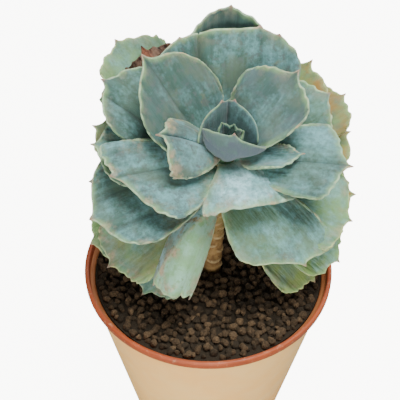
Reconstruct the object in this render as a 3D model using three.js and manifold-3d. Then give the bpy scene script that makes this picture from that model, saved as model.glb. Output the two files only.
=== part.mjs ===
// Monstrose ghost echeveria in a round plastic pot.
// Millimetres, +Z up, origin at the centre of the pot's base, the viewer towards -Y.
import * as THREE from 'three';
import Module from 'manifold-3d';

// Pot: a tapered nursery pot, ten and a half centimetres across the rim
const POT_HEIGHT = 90;
const POT_BASE_RADIUS = 37.5;
const POT_SHOULDER_RADIUS = 50.6;
const POT_RIM_RADIUS = 52.5;
const POT_MOUTH_RADIUS = 50.7;
const POT_WALL = 1.8;
const POT_FLOOR = 2.2;
const RIM_BAND = 3.4;
const RIM_LIP = 0.3;
const BEVEL = 0.7;
const FOOT_BEVEL = 1;
const POT_SEGMENTS = 40;
const DRAIN_COUNT = 6;
const DRAIN_RADIUS = 3.5;
const DRAIN_CIRCLE = 25;
const DRAIN_SIDES = 12;

// Soil: pumice and lava grit, a little below the rim
const SOIL_HEIGHT = 87;
const SOIL_RINGS = 11;
const GRIT_PEAK = 1.3;
const GRIT_LEAST = 0.4;
const GRIT_DIP = 0.9;
const GRIT_JITTER = 0.8;

// Stem: bare and scarred below, hidden by leaf bases above
const STEM_FOOT = [1.5, 0, SOIL_HEIGHT];
const STEM_DEPTH = 22;
const CROWN = [6, 0, 150];
const TILT = 22;
const LEAN = 6;
const STEM_RADIUS = 4.7;
const STEM_TOP_RADIUS = 1.4;
const STEM_TOP = 3.5;
const STEM_TAPER = 14;
const STEM_BEND = 0.45;
const STEM_SIDES = 12;
const STEM_STEP = 3;
const SCAR_RELIEF = 0.35;
const SCAR_PITCH = 4.2;
const SCAR_TURNS = 5;

// Clearance between neighbouring pieces, and the overlap (cubic mm) above which a leaf is trimmed
const GAP = 0.3;
const SOIL_CLEARANCE = 0.6;
const TRIM_FROM = 0.001;

// Leaf blades
const BLADE_MIDDLE = 2.2;
const BLADE_EDGE = 0.9;
const BLADE_STEPS = 48;
const SECTION_STEPS = 24;
const BLADE_REACH = 1.15;
const TIP_WIDTH = 0.07;
const TIP_SHARPNESS = 6;
const FINE_GRID = [6, 8];
const PLAIN_GRID = [5, 8];
const SMALL_GRID = [5, 6];
const ROOT_CLASP = 0.9;
const CURL_FROM = 0.6;
const CURL_MOST = 1.3;
const KEEL_ROUND = 6;
const CREASE_GROWTH = 1.6;
const RIPPLE_LAG = 2.1;

// One row for each leaf, from the heart outwards.
// at: height on the stem from the crown. turn: 0 right, 90 back, 180 left, 270 front.
// rise: slope above the rosette's plane at root and tip. cup: side-to-side curl at root and tip.
// tips: [across, length]. crease: [across, depth, width]. left: the left half's share of wide.
const LEAF = {
  at: 0, turn: 0, rise: [40, 20], long: 48, wide: 18, cap: 16, cup: [40, 25], tips: [[0, 2.5]],
  root: 0.2, swell: 0.9, keel: 0, crease: [], left: 1, skew: 0, curl: 0, roll: 0,
  wave: 0, waves: 2, grid: FINE_GRID,
};
const BUD = { rise: [70, 86], wide: 3, cap: 2.7, cup: [60, 60], grid: SMALL_GRID };
const OUTER = { cap: 8, cup: [24, 10], grid: PLAIN_GRID };
const LEAVES = [
  { name: 'bud_leaf_1', ...BUD, at: 3, turn: 130, long: 8.5 },
  { name: 'bud_leaf_2', ...BUD, at: 3, turn: 10, long: 8.5 },
  { name: 'bud_leaf_3', ...BUD, rise: [60, 82], at: 2, turn: 325, long: 7.5 },
  { name: 'bud_leaf_4', ...BUD, rise: [66, 84], at: 2, turn: 70, long: 7.5 },
  { name: 'heart_leaf_back', at: 0, turn: 95, rise: [56, 72], long: 16, wide: 13, cap: 13,
    cup: [60, 55], tips: [[-0.1, 1.5], [0.13, 1.5]], root: 0.5, crease: [[0, 1.8, 0.12]],
    bloom: 0.3 },
  { name: 'heart_leaf_front', at: -1, turn: 282, rise: [66, 112], long: 16.5, wide: 14, cap: 9,
    cup: [60, 45], tips: [[0, 1.5]], root: 0.15, swell: 0.95, skew: -3, roll: -24, bloom: 0.35 },
  { name: 'inner_leaf_left_curled', at: -3, turn: 187, rise: [54, 28], long: 25, wide: 10, cap: 8,
    cup: [-10, -50], left: 1.45, crease: [[0, 2, 0.1]], bloom: 0.55 },
  { name: 'inner_leaf_right', at: -4, turn: 47, rise: [52, 38], long: 34, wide: 16, cap: 9,
    cup: [40, 15], left: 0.78, tips: [[-0.1, 3]], swell: 0.8, skew: -1, bloom: 0.3 },
  { name: 'inner_leaf_right_folded', at: -6, turn: 352, rise: [34, 28], long: 23.5, wide: 8.5,
    left: 0.45, cap: 7, cup: [40, 60], bloom: 0.6 },
  { name: 'inner_leaf_left', at: -7, turn: 141, rise: [44, 42], long: 41, wide: 15.5, cap: 20,
    cup: [20, 8], tips: [[0.1, 4]], left: 1.2, crease: [[0.2, 1.5, 0.15]], swell: 0.6, roll: -6,
    bloom: 0.35 },
  { name: 'inner_leaf_front', at: -5, turn: 294, rise: [26, 8], long: 21.5, wide: 18, cap: 0,
    cup: [-10, -25], curl: -25, tips: [[0.85, 3]], left: 1.2, swell: 1.2, skew: 4, bloom: 0.95 },
  { name: 'middle_leaf_back_double', at: -9, turn: 94, rise: [44, 36], long: 44, wide: 27.5,
    cap: 15, cup: [40, 15], tips: [[-0.3, 1.5], [-0.5, 1], [0.43, 1]], crease: [[0.36, 3, 0.05]],
    skew: -2, bloom: 0.4 },
  { name: 'middle_leaf_left', at: -8, turn: 199, rise: [26, 2], long: 37, wide: 12, left: 1.75,
    cap: 8, cup: [20, 0], crease: [[0.1, 1.2, 0.08]], skew: -9, roll: -8, bloom: 0.7 },
  { name: 'middle_leaf_right', at: -8, turn: 350, rise: [31, 14], long: 39, wide: 14.5, cap: 8,
    cup: [20, 10], tips: [[0, 4]], crease: [[0, 1, 0.08]], roll: 8 },
  { name: 'middle_leaf_back_right', at: -13, turn: 31, rise: [32, 24], long: 41, wide: 15,
    cap: 12, cup: [15, 5], roll: 8 },
  { name: 'middle_leaf_fan_upper', at: -12, turn: 155, rise: [26, 20], long: 47, wide: 15,
    cap: 14, cup: [25, 15], crease: [[0.3, 1, 0.1]], roll: -8, bloom: 0.3 },
  { name: 'middle_leaf_fan_lower', at: -13, turn: 179, rise: [17, 8], long: 42, wide: 14, cap: 12,
    cup: [20, 10], crease: [[-0.2, 1, 0.1]], roll: -12, bloom: 0.35 },
  { name: 'middle_leaf_front_left', at: -15, turn: 207, rise: [11, -7], long: 46, wide: 21,
    left: 0.85, cap: 16, cup: [25, 10], crease: [[-0.25, 1, 0.12], [0.35, 0.8, 0.12]], roll: -4,
    bloom: 0.4 },
  { name: 'middle_leaf_back', at: -19, turn: 92, rise: [16, 76], long: 61, wide: 16.5, cap: 13,
    cup: [30, 60], tips: [[0, 1.2]], swell: 1.7, bloom: 0.2 },
  { name: 'middle_leaf_front_hanging', at: -15, turn: 250, rise: [0, -30], long: 48, wide: 15,
    cap: 5, cup: [-20, -40], keel: -35, tips: [[0.85, 3], [-0.55, 1]], left: 0.65, bloom: 0.8 },
  { name: 'middle_leaf_front_right', at: -14, turn: 311, rise: [4, -14], long: 41, wide: 18,
    left: 0.95, cap: 6, cup: [10, -20], crease: [[0.25, -1.2, 0.15]], skew: 8, roll: 5,
    bloom: 0.75 },
  { name: 'dried_leaf', at: -18, turn: 129, rise: [28, 24], long: 49, wide: 15, cap: 6,
    cup: [20, 10], wave: 1.2, waves: 3, roll: -6 },
  { name: 'outer_leaf_back_right', ...OUTER, at: -17, turn: 51, rise: [28, 20], long: 48,
    wide: 15, roll: -8 },
  { name: 'outer_leaf_right_1', ...OUTER, at: -19, turn: 34, rise: [20, 12], long: 51.5, wide: 14,
    roll: -8 },
  { name: 'outer_leaf_right_4', ...OUTER, cap: 6, at: -19, turn: 343, rise: [4, -5], long: 46,
    wide: 17, bloom: 0.7 },
  { name: 'outer_leaf_right_2', ...OUTER, at: -21, turn: 22, rise: [12, 6], long: 48, wide: 14,
    roll: -8 },
  { name: 'outer_leaf_right_3', ...OUTER, at: -24, turn: 0, rise: [2, -6], long: 48, wide: 13,
    roll: -6 },
  { name: 'outer_leaf_back_left', ...OUTER, at: -19, turn: 134, rise: [24, 18], long: 58,
    wide: 16, roll: 8 },
  { name: 'outer_leaf_left_1', ...OUTER, at: -21, turn: 141, rise: [17, 11], long: 52, wide: 14,
    roll: 8 },
  { name: 'outer_leaf_left_2', ...OUTER, at: -22, turn: 160, rise: [9, 2], long: 46, wide: 14,
    roll: 8 },
  { name: 'outer_leaf_left_3', ...OUTER, at: -24, turn: 183, rise: [4, -4], long: 43, wide: 14,
    roll: 6 },
  { name: 'outer_leaf_front_left_2', ...OUTER, at: -21, turn: 217, rise: [-10, -36], long: 49,
    wide: 15, roll: -6, bloom: 0.3 },
  { name: 'outer_leaf_front_right_1', ...OUTER, at: -23, turn: 333, rise: [-4, -26], long: 51,
    wide: 13, roll: 8 },
  { name: 'outer_leaf_front_left_1', ...OUTER, at: -25, turn: 203, rise: [-12, -28], long: 49,
    wide: 13, roll: -10 },
  { name: 'outer_leaf_front_right_2', ...OUTER, at: -26, turn: 323, rise: [-10, -30], long: 48,
    wide: 14, roll: 4 },
  { name: 'outer_leaf_front_left_3', ...OUTER, at: -27, turn: 233, rise: [-20, -46], long: 46,
    wide: 13, roll: -4 },
];

// Rear leaves: two lower whorls that the others hide from the front
const REAR_WHORLS = [
  { at: -25, first: 62, step: 26, count: 3, rise: [10, 0], long: 47 },
  { at: -28, first: 10, step: 33, count: 5, rise: [-10, -28], long: 43 },
];
const REAR = { wide: 13, cap: 7, cup: [12, 4], roll: 16, grid: SMALL_GRID };
const REAR_JITTER = 2;
const SEED = 7;
const DRAW_FACTOR = 1664525;
const DRAW_STEP = 1013904223;
const DRAW_RANGE = 4294967296;

// Materials of the nodes
const POT_COLOUR = 0xd98a5c;
const SOIL_COLOUR = 0x3a2c25;
const STEM_COLOUR = 0x9a7a52;
const LEAF_COLOUR = 0x8fb3b0;
const DRIED_COLOUR = 0x8a5a4a;

const wasm = await Module();
wasm.setup();

// Small vector helpers
const radians = (degrees) => degrees * Math.PI / 180;
const add = (a, b, k = 1) => [a[0] + b[0] * k, a[1] + b[1] * k, a[2] + b[2] * k];
const scale = (a, k) => [a[0] * k, a[1] * k, a[2] * k];
const cross = (a, b) => [
  a[1] * b[2] - a[2] * b[1], a[2] * b[0] - a[0] * b[2], a[0] * b[1] - a[1] * b[0]];
const unit = (a) => scale(a, 1 / Math.hypot(...a));
const clamp = (v, low, high) => Math.min(Math.max(v, low), high);
const blend = (pair, t) => pair[0] + (pair[1] - pair[0]) * t;

// Seeded draws from 0 to 1
function makeRandom(seed) {
  let state = seed;
  return () => {
    state = (state * DRAW_FACTOR + DRAW_STEP) % DRAW_RANGE;
    return state / DRAW_RANGE;
  };
}

// The rosette's axis, and its right and back directions
const AXIS = unit([
  Math.sin(radians(LEAN)),
  -Math.sin(radians(TILT)) * Math.cos(radians(LEAN)),
  Math.cos(radians(TILT)) * Math.cos(radians(LEAN))]);
const RIGHT = unit(add([1, 0, 0], AXIS, -AXIS[0]));
const BACK = cross(AXIS, RIGHT);

// Points on the stem's centre line, h below or above the crown
const STEM_LENGTH = Math.hypot(...add(CROWN, STEM_FOOT, -1));
const STEM_KNEE = add(CROWN, AXIS, -STEM_LENGTH * STEM_BEND);
function stemPoint(h) {
  if (h > 0) return add(CROWN, AXIS, h);
  const t = Math.min(-h / STEM_LENGTH, 1);
  const point = scale(CROWN, (1 - t) ** 2);
  return add(add(point, STEM_KNEE, 2 * t * (1 - t)), STEM_FOOT, t * t);
}
function stemRadius(h) {
  const t = clamp((STEM_TOP - h) / STEM_TAPER, 0, 1);
  return STEM_TOP_RADIUS + (STEM_RADIUS - STEM_TOP_RADIUS) * t * t * (3 - 2 * t);
}

// A closed body from points and triangles
function solid(points, triangles) {
  return new wasm.Manifold(new wasm.Mesh({
    numProp: 3,
    vertProperties: new Float32Array(points.flat()),
    triVerts: new Uint32Array(triangles.flat()),
  }));
}

// A closed body through rings of equal count, capped at both ends
function loft(rings) {
  const count = rings[0].length;
  const last = (rings.length - 1) * count;
  const middle = (ring) => scale(ring.reduce((sum, p) => add(sum, p), [0, 0, 0]), 1 / count);
  const points = [...rings.flat(), middle(rings[0]), middle(rings.at(-1))];
  const triangles = [];
  for (let j = 0; j < count; j += 1) {
    const next = (j + 1) % count;
    for (let i = 0; i < last; i += count) {
      triangles.push([i + j, i + next, i + count + next]);
      triangles.push([i + j, i + count + next, i + count + j]);
    }
    triangles.push([last + count, next, j]);
    triangles.push([last + count + 1, last + j, last + next]);
  }
  return solid(points, triangles);
}

// A level ring round the Z axis
function levelRing(radius, z, sides, centre = [0, 0]) {
  return Array.from({ length: sides }, (_, j) => {
    const angle = 2 * Math.PI * j / sides;
    return [centre[0] + radius * Math.cos(angle), centre[1] + radius * Math.sin(angle), z];
  });
}

// The pot's outer and inner wall at a height
const outerWall = (z) => POT_BASE_RADIUS
  + (POT_SHOULDER_RADIUS - POT_BASE_RADIUS) * z / (POT_HEIGHT - RIM_BAND);
const innerWall = (z) => outerWall(z) - POT_WALL;

function potSolid() {
  const shoulder = POT_HEIGHT - RIM_BAND;
  const profile = [
    [POT_BASE_RADIUS - FOOT_BEVEL, 0],
    [outerWall(FOOT_BEVEL), FOOT_BEVEL],
    [outerWall(shoulder), shoulder],
    [POT_RIM_RADIUS - RIM_LIP, shoulder + RIM_LIP],
    [POT_RIM_RADIUS, shoulder + BEVEL],
    [POT_RIM_RADIUS, POT_HEIGHT - BEVEL],
    [POT_RIM_RADIUS - BEVEL, POT_HEIGHT],
    [POT_MOUTH_RADIUS + RIM_LIP, POT_HEIGHT],
    [POT_MOUTH_RADIUS, POT_HEIGHT - BEVEL],
    [POT_MOUTH_RADIUS - RIM_LIP, shoulder],
    [innerWall(shoulder - 2 * BEVEL), shoulder - 2 * BEVEL],
    [innerWall(POT_FLOOR + FOOT_BEVEL), POT_FLOOR + FOOT_BEVEL],
    [innerWall(POT_FLOOR) - FOOT_BEVEL, POT_FLOOR],
  ];
  let pot = loft(profile.map(([radius, z]) => levelRing(radius, z, POT_SEGMENTS)));
  for (let k = 0; k < DRAIN_COUNT; k += 1) {
    const angle = 2 * Math.PI * k / DRAIN_COUNT;
    const centre = [DRAIN_CIRCLE * Math.cos(angle), DRAIN_CIRCLE * Math.sin(angle)];
    pot = pot.subtract(loft([
      levelRing(DRAIN_RADIUS, -1, DRAIN_SIDES, centre),
      levelRing(DRAIN_RADIUS, POT_FLOOR + 1, DRAIN_SIDES, centre)]));
  }
  return pot;
}

// Soil: a hexagonal lattice pulled round, every third point a grain of grit
function soilSolid() {
  const random = makeRandom(SEED);
  const radius = innerWall(SOIL_HEIGHT) - SOIL_CLEARANCE;
  const pitch = radius / SOIL_RINGS;
  const points = [];
  const index = new Map();
  for (let q = -SOIL_RINGS; q <= SOIL_RINGS; q += 1) {
    for (let r = -SOIL_RINGS; r <= SOIL_RINGS; r += 1) {
      const ring = Math.max(Math.abs(q), Math.abs(r), Math.abs(q + r));
      if (ring > SOIL_RINGS) continue;
      const x = q + r / 2;
      const y = r * Math.sqrt(3) / 2;
      const pull = ring ? ring * pitch / Math.hypot(x, y) : 0;
      const edge = ring === SOIL_RINGS;
      const peak = (q - r) % 3 === 0;
      const lift = peak ? GRIT_PEAK * blend([GRIT_LEAST, 1], random()) : -GRIT_DIP * random();
      const jitter = edge ? 0 : GRIT_JITTER;
      index.set(`${q},${r}`, points.length);
      points.push([
        x * pull + jitter * (random() - 0.5), y * pull + jitter * (random() - 0.5),
        SOIL_HEIGHT + (edge ? -GRIT_DIP : lift)]);
    }
  }
  const triangles = [];
  const at = (q, r) => index.get(`${q},${r}`);
  for (let q = -SOIL_RINGS; q <= SOIL_RINGS; q += 1) {
    for (let r = -SOIL_RINGS; r <= SOIL_RINGS; r += 1) {
      const upper = [at(q, r), at(q + 1, r), at(q, r + 1)];
      const lower = [at(q, r), at(q + 1, r - 1), at(q + 1, r)];
      for (const corner of [upper, lower]) {
        if (corner.every((v) => v !== undefined)) triangles.push(corner);
      }
    }
  }
  const angleOf = (v) => Math.atan2(points[v][1], points[v][0]);
  const rim = [];
  points.forEach((p, v) => {
    if (Math.hypot(p[0], p[1]) > radius - pitch / 4) rim.push(v);
  });
  rim.sort((a, b) => angleOf(a) - angleOf(b));
  const floor = POT_FLOOR + GAP;
  const foot = innerWall(POT_FLOOR + FOOT_BEVEL) - FOOT_BEVEL - GAP;
  const base = points.length;
  for (const v of rim) {
    points.push([foot * Math.cos(angleOf(v)), foot * Math.sin(angleOf(v)), floor]);
  }
  const centre = points.length;
  points.push([0, 0, floor]);
  rim.forEach((v, k) => {
    const next = (k + 1) % rim.length;
    triangles.push([v, base + next, rim[next]]);
    triangles.push([v, base + k, base + next]);
    triangles.push([centre, base + next, base + k]);
  });
  const hole = loft([
    levelRing(STEM_RADIUS + GAP, SOIL_HEIGHT - STEM_DEPTH - GAP, STEM_SIDES, STEM_FOOT),
    levelRing(STEM_RADIUS + GAP, POT_HEIGHT, STEM_SIDES, STEM_FOOT)]);
  return solid(points, triangles).subtract(hole);
}

// Stem: rings along its centre line, with low ridges where old leaves dropped
function stemSolid(extra) {
  const buried = [-STEM_DEPTH, -STEM_DEPTH / 2];
  const rings = buried.map((dz) => levelRing(
    STEM_RADIUS - GAP + extra, SOIL_HEIGHT + dz, STEM_SIDES, STEM_FOOT));
  const steps = Math.round((STEM_LENGTH + STEM_TOP) / STEM_STEP);
  for (let k = 0; k <= steps; k += 1) {
    const h = blend([-STEM_LENGTH, STEM_TOP], k / steps);
    const centre = stemPoint(h);
    const along = unit(add(stemPoint(h + 0.5), stemPoint(h - 0.5), -1));
    const side = unit(add([1, 0, 0], along, -along[0]));
    const back = cross(along, side);
    const fade = clamp((k - 1) / 2, 0, 1);
    const ring = [];
    for (let j = 0; j < STEM_SIDES; j += 1) {
      const angle = 2 * Math.PI * j / STEM_SIDES;
      const scar = Math.sin(2 * Math.PI * (h / SCAR_PITCH + j * SCAR_TURNS / STEM_SIDES));
      const radius = stemRadius(h) - GAP + SCAR_RELIEF * scar * fade + extra;
      const out = add(scale(side, Math.cos(angle)), back, Math.sin(angle));
      ring.push(add(centre, out, radius));
    }
    rings.push(ring);
  }
  return loft(rings);
}

// Leaf frames: centre, across and inward directions along the midrib
function leafFrames(leaf) {
  const frames = [];
  const outward = (turn) => add(
    scale(RIGHT, Math.cos(radians(turn))), BACK, Math.sin(radians(turn)));
  const steepness = Math.sin(radians(Math.abs(leaf.rise[0])));
  const start = stemRadius(leaf.at) + GAP + BLADE_MIDDLE / 2 * steepness;
  let centre = add(stemPoint(leaf.at), outward(leaf.turn), start);
  for (let k = 0; k <= BLADE_STEPS; k += 1) {
    const t = BLADE_REACH * k / BLADE_STEPS;
    const curl = clamp((t - CURL_FROM) / (1 - CURL_FROM), 0, CURL_MOST) ** 2 * leaf.curl;
    const rise = radians(blend(leaf.rise, t) + curl);
    const out = outward(leaf.turn);
    const along = add(scale(out, Math.cos(rise)), AXIS, Math.sin(rise));
    const flat = cross(AXIS, out);
    const up = cross(along, flat);
    const roll = radians(leaf.roll) * Math.min(t * 2, 1);
    frames.push({
      centre,
      across: add(scale(flat, Math.cos(roll)), up, Math.sin(roll)),
      inward: add(scale(up, Math.cos(roll)), flat, -Math.sin(roll)),
    });
    centre = add(centre, along, leaf.long * BLADE_REACH / BLADE_STEPS);
  }
  frames.outward = outward(leaf.turn);
  return frames;
}

// A point of the blade's middle surface, u from root to tip and s from -1 to 1 across
function leafPoint(leaf, frames, u, s) {
  const angle = s * Math.PI / 2;
  const wide = s > 0 ? leaf.wide * leaf.left : leaf.wide;
  const spread = Math.sin(Math.PI / 2 * u ** leaf.swell);
  const x = wide * (leaf.root * s * (1 - spread) + Math.sin(angle) * spread);
  let y = u * (leaf.long - leaf.cap + leaf.cap * Math.cos(angle) + leaf.skew * Math.sin(angle));
  for (const [place, length] of leaf.tips) {
    y += length * Math.exp(-Math.abs(s - place) / TIP_WIDTH) * u ** TIP_SHARPNESS;
  }
  const t = clamp(y / leaf.long, 0, BLADE_REACH);
  const place = Math.min(t / BLADE_REACH * BLADE_STEPS, BLADE_STEPS - 0.001);
  const low = Math.floor(place);
  const mix = (key) => add(
    scale(frames[low][key], 1 - (place - low)), frames[low + 1][key], place - low);
  const q = Math.abs(x) / leaf.wide;
  const cup = radians(blend(leaf.cup, t));
  let across = 0;
  let rise = 0;
  for (let k = 0; k < SECTION_STEPS; k += 1) {
    const part = q * (k + 0.5) / SECTION_STEPS;
    const slope = radians(leaf.keel) * clamp(part * KEEL_ROUND, 0, 1) + cup * part;
    across += Math.cos(slope) * q * leaf.wide / SECTION_STEPS;
    rise += Math.sin(slope) * q * leaf.wide / SECTION_STEPS;
  }
  const phase = x > 0 ? 0 : RIPPLE_LAG;
  rise += leaf.wave * Math.min(q, CURL_MOST) ** 2 * Math.min(t * 2, 1)
    * Math.sin(2 * Math.PI * leaf.waves * t + phase);
  for (const [middle, depth, width] of leaf.crease) {
    const nearness = Math.exp(-Math.abs(x / leaf.wide - middle) / width);
    rise -= depth * nearness * Math.min(t * CREASE_GROWTH, 1);
  }
  const point = add(add(mix('centre'), mix('across'), across * Math.sign(x)), mix('inward'), rise);
  const stem = stemRadius(leaf.at) + GAP;
  const beside = Math.min(Math.abs(x), ROOT_CLASP * stem);
  const clasp = stem - Math.sqrt(stem ** 2 - beside ** 2);
  return add(point, frames.outward, -clasp * (1 - u) ** 3);
}

// The grid of a blade's middle surface, with a column at every tip
function leafSheet(leaf) {
  const [rows, columns] = leaf.grid;
  const frames = leafFrames(leaf);
  const places = Array.from({ length: columns + 1 }, (_, j) => 2 * j / columns - 1);
  for (const [place] of leaf.tips) {
    const nearest = places.reduce((a, b) => (Math.abs(b - place) < Math.abs(a - place) ? b : a));
    if (Math.abs(nearest) < 1) places[places.indexOf(nearest)] = place;
  }
  const points = [];
  const halves = [];
  for (let i = 0; i <= rows; i += 1) {
    for (const s of places) {
      const fleshy = (1 - Math.abs(s) ** 3) * (1 - (i / rows) ** 4);
      points.push(leafPoint(leaf, frames, i / rows, s));
      halves.push((BLADE_EDGE + (BLADE_MIDDLE - BLADE_EDGE) * fleshy) / 2);
    }
  }
  return { rows, columns, points, halves };
}

// Looks up a grid point, held at the border
function gridPoint(sheet, i, j) {
  const [row, column] = [clamp(i, 0, sheet.rows), clamp(j, 0, sheet.columns)];
  return sheet.points[row * (sheet.columns + 1) + column];
}

// The face direction at each grid point, towards the rosette's heart
function sheetFaces(sheet) {
  const faces = [];
  for (let i = 0; i <= sheet.rows; i += 1) {
    for (let j = 0; j <= sheet.columns; j += 1) {
      const along = add(gridPoint(sheet, i + 1, j), gridPoint(sheet, i - 1, j), -1);
      const aside = add(gridPoint(sheet, i, j + 1), gridPoint(sheet, i, j - 1), -1);
      faces.push(unit(cross(along, aside)));
    }
  }
  return faces;
}

// A leaf as a closed blade; extra grows it on all sides
function leafSolid(sheet, extra) {
  const { rows, columns } = sheet;
  const faces = sheetFaces(sheet);
  const upper = [];
  const lower = [];
  sheet.points.forEach((middle, v) => {
    const [i, j] = [Math.floor(v / (columns + 1)), v % (columns + 1)];
    const inner = gridPoint(sheet, clamp(i, 1, rows - 1), clamp(j, 1, columns - 1));
    const outwards = add(middle, inner, -1);
    const length = Math.hypot(...outwards);
    const point = length > 0 ? add(middle, outwards, extra / length) : middle;
    const half = sheet.halves[v] + extra;
    upper.push(add(point, faces[v], half));
    lower.push(add(point, faces[v], -half));
  });
  const width = columns + 1;
  const count = upper.length;
  const triangles = [];
  for (let i = 0; i < rows; i += 1) {
    for (let j = 0; j < columns; j += 1) {
      const a = i * width + j;
      const [b, c, d] = [a + width, a + width + 1, a + 1];
      triangles.push([a, b, c], [a, c, d]);
      triangles.push([count + a, count + c, count + b], [count + a, count + d, count + c]);
    }
  }
  const loop = [];
  for (let i = 0; i < rows; i += 1) loop.push(i * width);
  for (let j = 0; j < columns; j += 1) loop.push(rows * width + j);
  for (let i = rows; i > 0; i -= 1) loop.push(i * width + columns);
  for (let j = columns; j > 0; j -= 1) loop.push(j);
  loop.forEach((v, k) => {
    const next = loop[(k + 1) % loop.length];
    triangles.push([next, v, count + v], [next, count + v, count + next]);
  });
  return solid([...upper, ...lower], triangles);
}

// The biggest loose body of a cut blade
function mainBody(body) {
  const pieces = body.decompose();
  return pieces.reduce((a, b) => (b.volume() > a.volume() ? b : a));
}

const boxesMeet = (a, b) => [0, 1, 2].every((k) => a.min[k] < b.max[k] && b.min[k] < a.max[k]);

// All leaves, each trimmed clear of the stem and of the leaves inside it
function leafSolids() {
  const random = makeRandom(SEED);
  const jitter = () => REAR_JITTER * (2 * random() - 1);
  const rows = LEAVES.map((row) => ({ ...LEAF, ...row }));
  for (const whorl of REAR_WHORLS) {
    for (let k = 0; k < whorl.count; k += 1) {
      const number = rows.length - LEAVES.length + 1;
      rows.push({
        ...LEAF, ...REAR, name: `rear_leaf_${number}`, at: whorl.at + jitter() / 3,
        turn: whorl.first + whorl.step * k + jitter(), rise: whorl.rise.map((r) => r + jitter()),
        long: whorl.long + jitter(),
      });
    }
  }
  const taken = [[stemSolid(0), stemSolid(GAP)]];
  const leaves = [];
  for (const row of rows) {
    const sheet = leafSheet(row);
    let body = leafSolid(sheet, 0);
    const box = body.boundingBox();
    for (const [other, grown] of taken) {
      if (boxesMeet(box, other.boundingBox()) && body.intersect(other).volume() > TRIM_FROM) {
        body = body.subtract(grown);
      }
    }
    taken.push([mainBody(body), leafSolid(sheet, GAP)]);
    leaves.push([row.name, mainBody(body)]);
  }
  return leaves;
}

// A named mesh from a closed body
function addMesh(group, name, body, colour) {
  const { vertProperties, triVerts, numProp } = body.getMesh();
  const count = vertProperties.length / numProp;
  const positions = new Float32Array(count * 3);
  for (let v = 0; v < count; v += 1) {
    for (let k = 0; k < 3; k += 1) positions[v * 3 + k] = vertProperties[v * numProp + k];
  }
  const geometry = new THREE.BufferGeometry();
  geometry.setAttribute('position', new THREE.BufferAttribute(positions, 3));
  geometry.setIndex(Array.from(triVerts));
  geometry.computeVertexNormals();
  const mesh = new THREE.Mesh(
    geometry, new THREE.MeshStandardMaterial({ color: colour, roughness: 0.8 }));
  mesh.name = name;
  group.add(mesh);
}

const group = new THREE.Group();
group.name = 'potted_monstrose_ghost_echeveria';
addMesh(group, 'pot', potSolid(), POT_COLOUR);
addMesh(group, 'soil', soilSolid(), SOIL_COLOUR);
addMesh(group, 'stem', stemSolid(0), STEM_COLOUR);
for (const [name, body] of leafSolids()) {
  addMesh(group, name, body, name === 'dried_leaf' ? DRIED_COLOUR : LEAF_COLOUR);
}

export default group;
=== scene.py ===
import math
import random

import bpy
import numpy as np
from mathutils import Matrix


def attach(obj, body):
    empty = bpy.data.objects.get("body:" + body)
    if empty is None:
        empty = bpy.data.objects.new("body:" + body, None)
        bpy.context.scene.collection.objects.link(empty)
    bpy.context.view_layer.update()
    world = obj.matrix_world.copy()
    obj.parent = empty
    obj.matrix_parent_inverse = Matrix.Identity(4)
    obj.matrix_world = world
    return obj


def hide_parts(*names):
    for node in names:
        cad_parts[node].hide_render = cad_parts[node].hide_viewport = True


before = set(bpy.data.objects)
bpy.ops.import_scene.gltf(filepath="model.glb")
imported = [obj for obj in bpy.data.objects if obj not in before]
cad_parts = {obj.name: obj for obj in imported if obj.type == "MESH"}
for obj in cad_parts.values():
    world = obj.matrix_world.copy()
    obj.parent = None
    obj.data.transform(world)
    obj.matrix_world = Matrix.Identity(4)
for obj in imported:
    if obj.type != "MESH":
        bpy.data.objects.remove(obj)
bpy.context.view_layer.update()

# Pot
# A tapered nursery pot of thin moulded plastic, ten and a half centimetres across its rim.
# The band round the rim is orange terracotta, and the wall below it is a much paler sand colour.
POT_HEIGHT = 90.0
POT_BASE_RADIUS = 37.5
POT_SHOULDER_RADIUS = 50.6
POT_RIM_RADIUS = 52.5
POT_MOUTH_RADIUS = 50.7
POT_WALL = 1.8
POT_FLOOR = 2.2
RIM_BAND = 3.4
POT_SIDES = 160
DRAIN_COUNT = 6
DRAIN_RADIUS = 3.5
DRAIN_CIRCLE = 25.0
DRAIN_SIDES = 32


def outer_wall(z):
    """The pot's outer radius at a height, in mm."""
    rise = z / (POT_HEIGHT - RIM_BAND)
    return POT_BASE_RADIUS + (POT_SHOULDER_RADIUS - POT_BASE_RADIUS) * rise


def inner_wall(z):
    """The pot's inner radius at a height, in mm."""
    return outer_wall(z) - POT_WALL


def mesh_object(name, points, faces, smooth=True):
    """An object from points in millimetres, with its place in its mesh."""
    mesh = bpy.data.meshes.new(name)
    mesh.from_pydata((np.asarray(points, float) / 1000).tolist(), [], faces)
    mesh.polygons.foreach_set("use_smooth", [smooth] * len(mesh.polygons))
    mesh.update()
    piece = bpy.data.objects.new(name, mesh)
    bpy.context.scene.collection.objects.link(piece)
    return piece


def ring_faces(rings, sides):
    """Quads through rings of points laid one after another, with a fan at each end."""
    faces = []
    last = (rings - 1) * sides
    for j in range(sides):
        k = (j + 1) % sides
        for i in range(0, last, sides):
            faces.append((i + j, i + k, i + sides + k, i + sides + j))
        faces.append((last + sides, k, j))
        faces.append((last + sides + 1, last + j, last + k))
    return faces


def turned_points(profile, sides, centre=(0.0, 0.0)):
    """Rings of a turned shape from (radius, height) pairs, and a middle point for each end."""
    angle = np.arange(sides) * 2 * math.pi / sides
    rings = [np.c_[centre[0] + r * np.cos(angle), centre[1] + r * np.sin(angle), np.full(sides, z)]
             for r, z in profile]
    ends = [[*centre, profile[0][1]], [*centre, profile[-1][1]]]
    return np.vstack(rings + [ends])


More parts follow.
